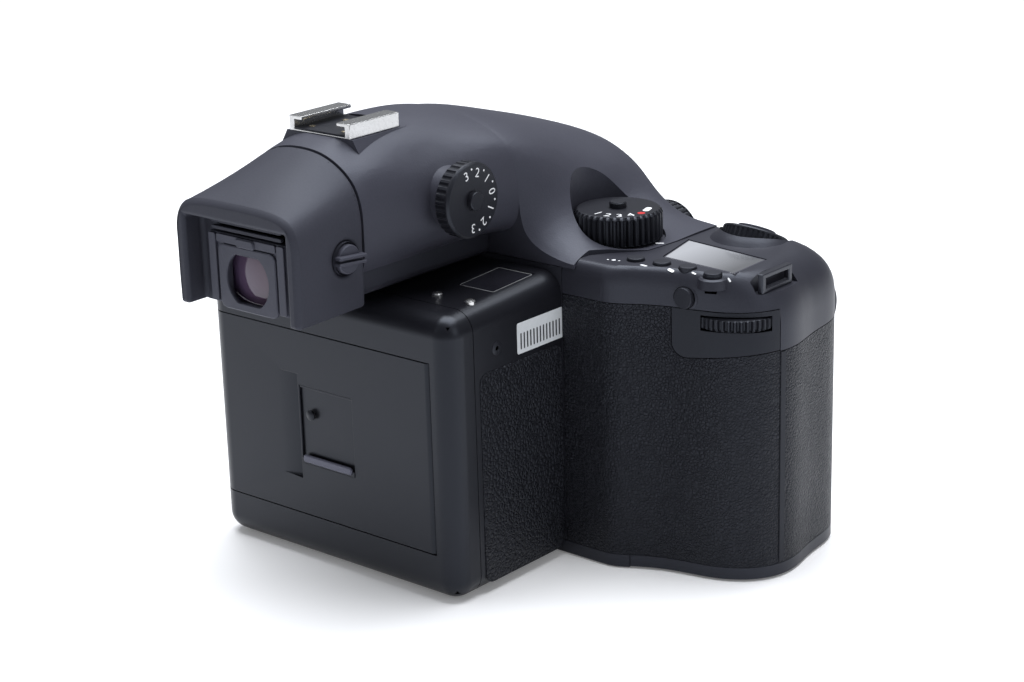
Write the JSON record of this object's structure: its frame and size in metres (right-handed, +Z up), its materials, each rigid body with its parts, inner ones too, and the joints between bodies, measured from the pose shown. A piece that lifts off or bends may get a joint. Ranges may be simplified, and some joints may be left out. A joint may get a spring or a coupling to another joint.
{
  "type": "medium format film camera",
  "caption": "Single lens reflex camera body with fixed prism finder, eyecup hood, battery grip, control dials, open lens mount and detachable roll film magazine.",
  "frame": {"origin": "mouth of the tripod socket, on the base plane under the lens axis", "axes": "+X towards the hand grip, +Y out of the lens mount towards the subject, +Z up"},
  "size_m": [0.1532, 0.1416, 0.1273],
  "materials": {
    "shell_black": "fine matt grain",
    "grip_rubber": "pebbled, matt",
    "hood_rubber": "smooth, matt",
    "control_black": "satin",
    "button_grey": "satin",
    "display_window": "clear, slightly grey",
    "chassis": "flat black casting",
    "shutter_metal": "flat grey",
    "mirror_silver": "front silvered",
    "optical_glass": "polished",
    "dark_glass": "coated",
    "bright_metal": "polished",
    "satin_steel": "satin",
    "black_metal": "satin black",
    "magazine_black": "fine matt grain",
    "clip_black": "satin black",
    "cell_can": "printed can, plain",
    "spool_plastic": "satin",
    "lens_ring_metal": "turned"
  },
  "bodies": {
    "camera_body": {"base_cover": "shell_black", "tripod_socket": "satin_steel", "left_cover": "shell_black", "front_cover": "shell_black", "grip_shell": "grip_rubber", "grip_rear_cover": "grip_rubber", "rear_dial_bezel": "control_black", "grip_top_cover": "shell_black", "status_window": "display_window", "mirror_box": "chassis", "shutter_frame": "chassis", "focusing_screen": "optical_glass", "pentaprism": "optical_glass", "top_cover": "shell_black", "finder_floor_cover": "shell_black", "eyecup_hood": "hood_rubber", "eyepiece_frame": "control_black", "eyepiece_lens": "dark_glass", "hot_shoe_rails": "bright_metal", "hot_shoe_base": "control_black", "lens_mount_ring": "lens_ring_metal", "mount_screws": "satin_steel", "strap_lugs": "black_metal"},
    "magazine": {"magazine_housing": "magazine_black", "magazine_cap": "magazine_black", "door_hinge_pin": "satin_steel", "magazine_window": "display_window", "magazine_pins": "bright_metal", "film_insert": "black_metal"},
    "magazine_door": {"magazine_door": "magazine_black", "memo_clip": "clip_black"},
    "door_latch": {"door_latch": "control_black"},
    "dark_slide": {"dark_slide": "satin_steel"},
    "feed_spool": {"feed_spool": "spool_plastic"},
    "take_up_spool": {"take_up_spool": "spool_plastic"},
    "mirror": {"mirror_frame": "black_metal", "mirror_glass": "mirror_silver"},
    "front_blade_1": {"front_blade_1": "shutter_metal"},
    "front_blade_2": {"front_blade_2": "shutter_metal"},
    "rear_blade_1": {"rear_blade_1": "shutter_metal"},
    "rear_blade_2": {"rear_blade_2": "shutter_metal"},
    "mode_dial": {"mode_dial": "control_black"},
    "mode_dial_button": {"mode_dial_button": "control_black"},
    "compensation_dial": {"compensation_dial": "control_black"},
    "compensation_button": {"compensation_button": "control_black"},
    "diopter_knob": {"diopter_knob": "control_black"},
    "drive_ring": {"drive_ring": "control_black"},
    "shutter_button": {"shutter_button": "button_grey"},
    "front_dial": {"front_dial": "control_black"},
    "rear_dial": {"rear_dial": "control_black"},
    "exposure_lock_button": {"exposure_lock_button": "control_black"},
    "function_button_1": {"function_button_1": "control_black"},
    "function_button_2": {"function_button_2": "control_black"},
    "function_button_3": {"function_button_3": "control_black"},
    "function_button_4": {"function_button_4": "control_black"},
    "lens_release_button": {"lens_release_button": "control_black"},
    "mirror_up_knob": {"mirror_up_knob": "control_black"},
    "battery_case": {"battery_case": "shell_black", "battery_cells": "cell_can"},
    "battery_lock": {"battery_lock": "control_black"}
  },
  "joints": [
    {"name": "magazine_slide", "type": "slide", "parent": "camera_body", "child": "magazine", "axis": [0, -1, 0], "range_m": [0, 0.03]},
    {"name": "magazine_door_hinge", "type": "hinge", "parent": "magazine", "child": "magazine_door", "pos_m": [0.036, -0.07025, 0.04], "axis": [0, 0, 1], "range_deg": [0, 92]},
    {"name": "door_latch_slide", "type": "slide", "parent": "magazine_door", "child": "door_latch", "axis": [0, 0, 1], "range_m": [0, 0.003]},
    {"name": "dark_slide_pull", "type": "slide", "parent": "magazine", "child": "dark_slide", "axis": [-1, 0, 0], "range_m": [0, 0.072]},
    {"name": "take_up_spool_spin", "type": "hinge", "parent": "magazine", "child": "take_up_spool", "pos_m": [0, -0.051, 0.0605], "axis": [1, 0, 0], "continuous": true},
    {"name": "feed_spool_spin", "type": "hinge", "parent": "magazine", "child": "feed_spool", "pos_m": [0, -0.051, 0.0215], "axis": [1, 0, 0], "continuous": true},
    {"name": "mirror_swing", "type": "hinge", "parent": "camera_body", "child": "mirror", "pos_m": [0, -0.0145, 0.066], "axis": [1, 0, 0], "range_deg": [0, 45]},
    {"name": "front_blade_2_run", "type": "slide", "parent": "camera_body", "child": "front_blade_2", "axis": [0, 0, -1], "range_m": [0, 0.0422]},
    {"name": "front_blade_1_run", "type": "slide", "parent": "camera_body", "child": "front_blade_1", "axis": [0, 0, -1], "range_m": [0, 0.0217]},
    {"name": "rear_blade_1_run", "type": "slide", "parent": "camera_body", "child": "rear_blade_1", "axis": [0, 0, -1], "range_m": [0, 0.0422]},
    {"name": "rear_blade_2_run", "type": "slide", "parent": "camera_body", "child": "rear_blade_2", "axis": [0, 0, -1], "range_m": [0, 0.0217]},
    {"name": "mode_dial_turn", "type": "hinge", "parent": "camera_body", "child": "mode_dial", "pos_m": [0.0462, -0.0017, 0.09], "axis": [0, 0, 1], "continuous": true},
    {"name": "mode_dial_button_press", "type": "slide", "parent": "mode_dial", "child": "mode_dial_button", "axis": [0, 0, -1], "range_m": [0, 0.001], "stiffness_N_per_m": 400, "springref_m": -0.001},
    {"name": "compensation_dial_turn", "type": "hinge", "parent": "camera_body", "child": "compensation_dial", "pos_m": [0.03, -0.047, 0.1052], "axis": [1, 0, 0], "range_deg": [-110, 110]},
    {"name": "compensation_button_press", "type": "slide", "parent": "compensation_dial", "child": "compensation_button", "axis": [-1, 0, 0], "range_m": [0, 0.001], "stiffness_N_per_m": 400, "springref_m": -0.001},
    {"name": "diopter_knob_turn", "type": "hinge", "parent": "camera_body", "child": "diopter_knob", "pos_m": [0.023, -0.0845, 0.0963], "axis": [1, 0, 0], "range_deg": [-90, 90]},
    {"name": "drive_ring_turn", "type": "hinge", "parent": "camera_body", "child": "drive_ring", "pos_m": [0.0758, 0.0206, 0.0837], "axis": [0, 0.454, 0.891], "range_deg": [-30, 60]},
    {"name": "shutter_button_press", "type": "slide", "parent": "camera_body", "child": "shutter_button", "axis": [0, -0.454, -0.891], "range_m": [0, 0.002], "stiffness_N_per_m": 400, "springref_m": -0.001},
    {"name": "front_dial_turn", "type": "hinge", "parent": "camera_body", "child": "front_dial", "pos_m": [0.088, 0.0309, 0.0665], "axis": [1, 0, 0], "continuous": true},
    {"name": "rear_dial_turn", "type": "hinge", "parent": "camera_body", "child": "rear_dial", "pos_m": [0.0886, -0.0052, 0.073], "axis": [0, 0, 1], "continuous": true},
    {"name": "exposure_lock_press", "type": "slide", "parent": "camera_body", "child": "exposure_lock_button", "axis": [0, 1, 0], "range_m": [0, 0.0008], "stiffness_N_per_m": 400, "springref_m": -0.001},
    {"name": "function_1_press", "type": "slide", "parent": "camera_body", "child": "function_button_1", "axis": [0, 0, -1], "range_m": [0, 0.0007], "stiffness_N_per_m": 400, "springref_m": -0.001},
    {"name": "function_2_press", "type": "slide", "parent": "camera_body", "child": "function_button_2", "axis": [0, 0, -1], "range_m": [0, 0.0007], "stiffness_N_per_m": 400, "springref_m": -0.001},
    {"name": "function_3_press", "type": "slide", "parent": "camera_body", "child": "function_button_3", "axis": [0, 0, -1], "range_m": [0, 0.0007], "stiffness_N_per_m": 400, "springref_m": -0.001},
    {"name": "function_4_press", "type": "slide", "parent": "camera_body", "child": "function_button_4", "axis": [0, 0, -1], "range_m": [0, 0.0007], "stiffness_N_per_m": 400, "springref_m": -0.001},
    {"name": "lens_release_press", "type": "slide", "parent": "camera_body", "child": "lens_release_button", "axis": [0, -1, 0], "range_m": [0, 0.0025], "stiffness_N_per_m": 300, "springref_m": -0.001},
    {"name": "mirror_up_turn", "type": "hinge", "parent": "camera_body", "child": "mirror_up_knob", "pos_m": [0.0414, 0.024, 0.0802], "axis": [0, 1, 0], "range_deg": [0, 45]},
    {"name": "battery_case_slide", "type": "slide", "parent": "camera_body", "child": "battery_case", "axis": [0, 0, -1], "range_m": [0, 0.06]},
    {"name": "battery_lock_turn", "type": "hinge", "parent": "battery_case", "child": "battery_lock", "pos_m": [0.08, 0.009, 0.001], "axis": [0, 0, 1], "range_deg": [0, 90]}
  ],
  "couplings": [
    {"joint": "feed_spool_spin", "follows": "take_up_spool_spin", "ratio": 1},
    {"joint": "front_blade_1_run", "follows": "front_blade_2_run", "ratio": 0.5142},
    {"joint": "rear_blade_2_run", "follows": "rear_blade_1_run", "ratio": 0.5142}
  ]
}
